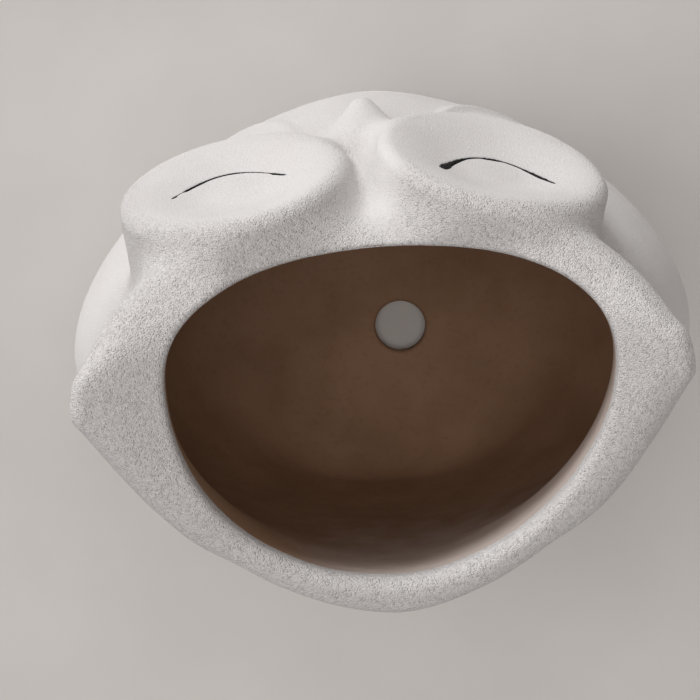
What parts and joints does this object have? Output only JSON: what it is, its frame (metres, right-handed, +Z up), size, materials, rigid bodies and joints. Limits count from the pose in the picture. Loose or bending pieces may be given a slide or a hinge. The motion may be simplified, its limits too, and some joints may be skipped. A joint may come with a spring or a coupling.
{
  "type": "owl planter",
  "caption": "Hollow clay owl pot with a white sand coat, dished eye discs with closed-eye lines, a beak, folded wings, ear tufts and a drained base.",
  "frame": {"origin": "on the table, under the middle of the owl's bounding box", "axes": "+Z up, the owl looks along -Y, its own left is +X"},
  "size_m": [0.1698, 0.1256, 0.1561],
  "materials": {
    "bare_clay": "bare fired clay, matt",
    "white_sand": "sand-textured white coat, matt",
    "black_inlay": "black fill in an incised line, matt"
  },
  "bodies": {
    "root": {"clay_vessel": "bare_clay", "sand_coat": "white_sand", "eye_disc_left": "white_sand", "eye_disc_right": "white_sand", "eyelid_line_left": "black_inlay", "eyelid_line_right": "black_inlay", "beak": "white_sand", "ear_tuft_left": "white_sand", "ear_tuft_right": "white_sand", "wing_left": "white_sand", "wing_right": "white_sand"}
  },
  "joints": []
}
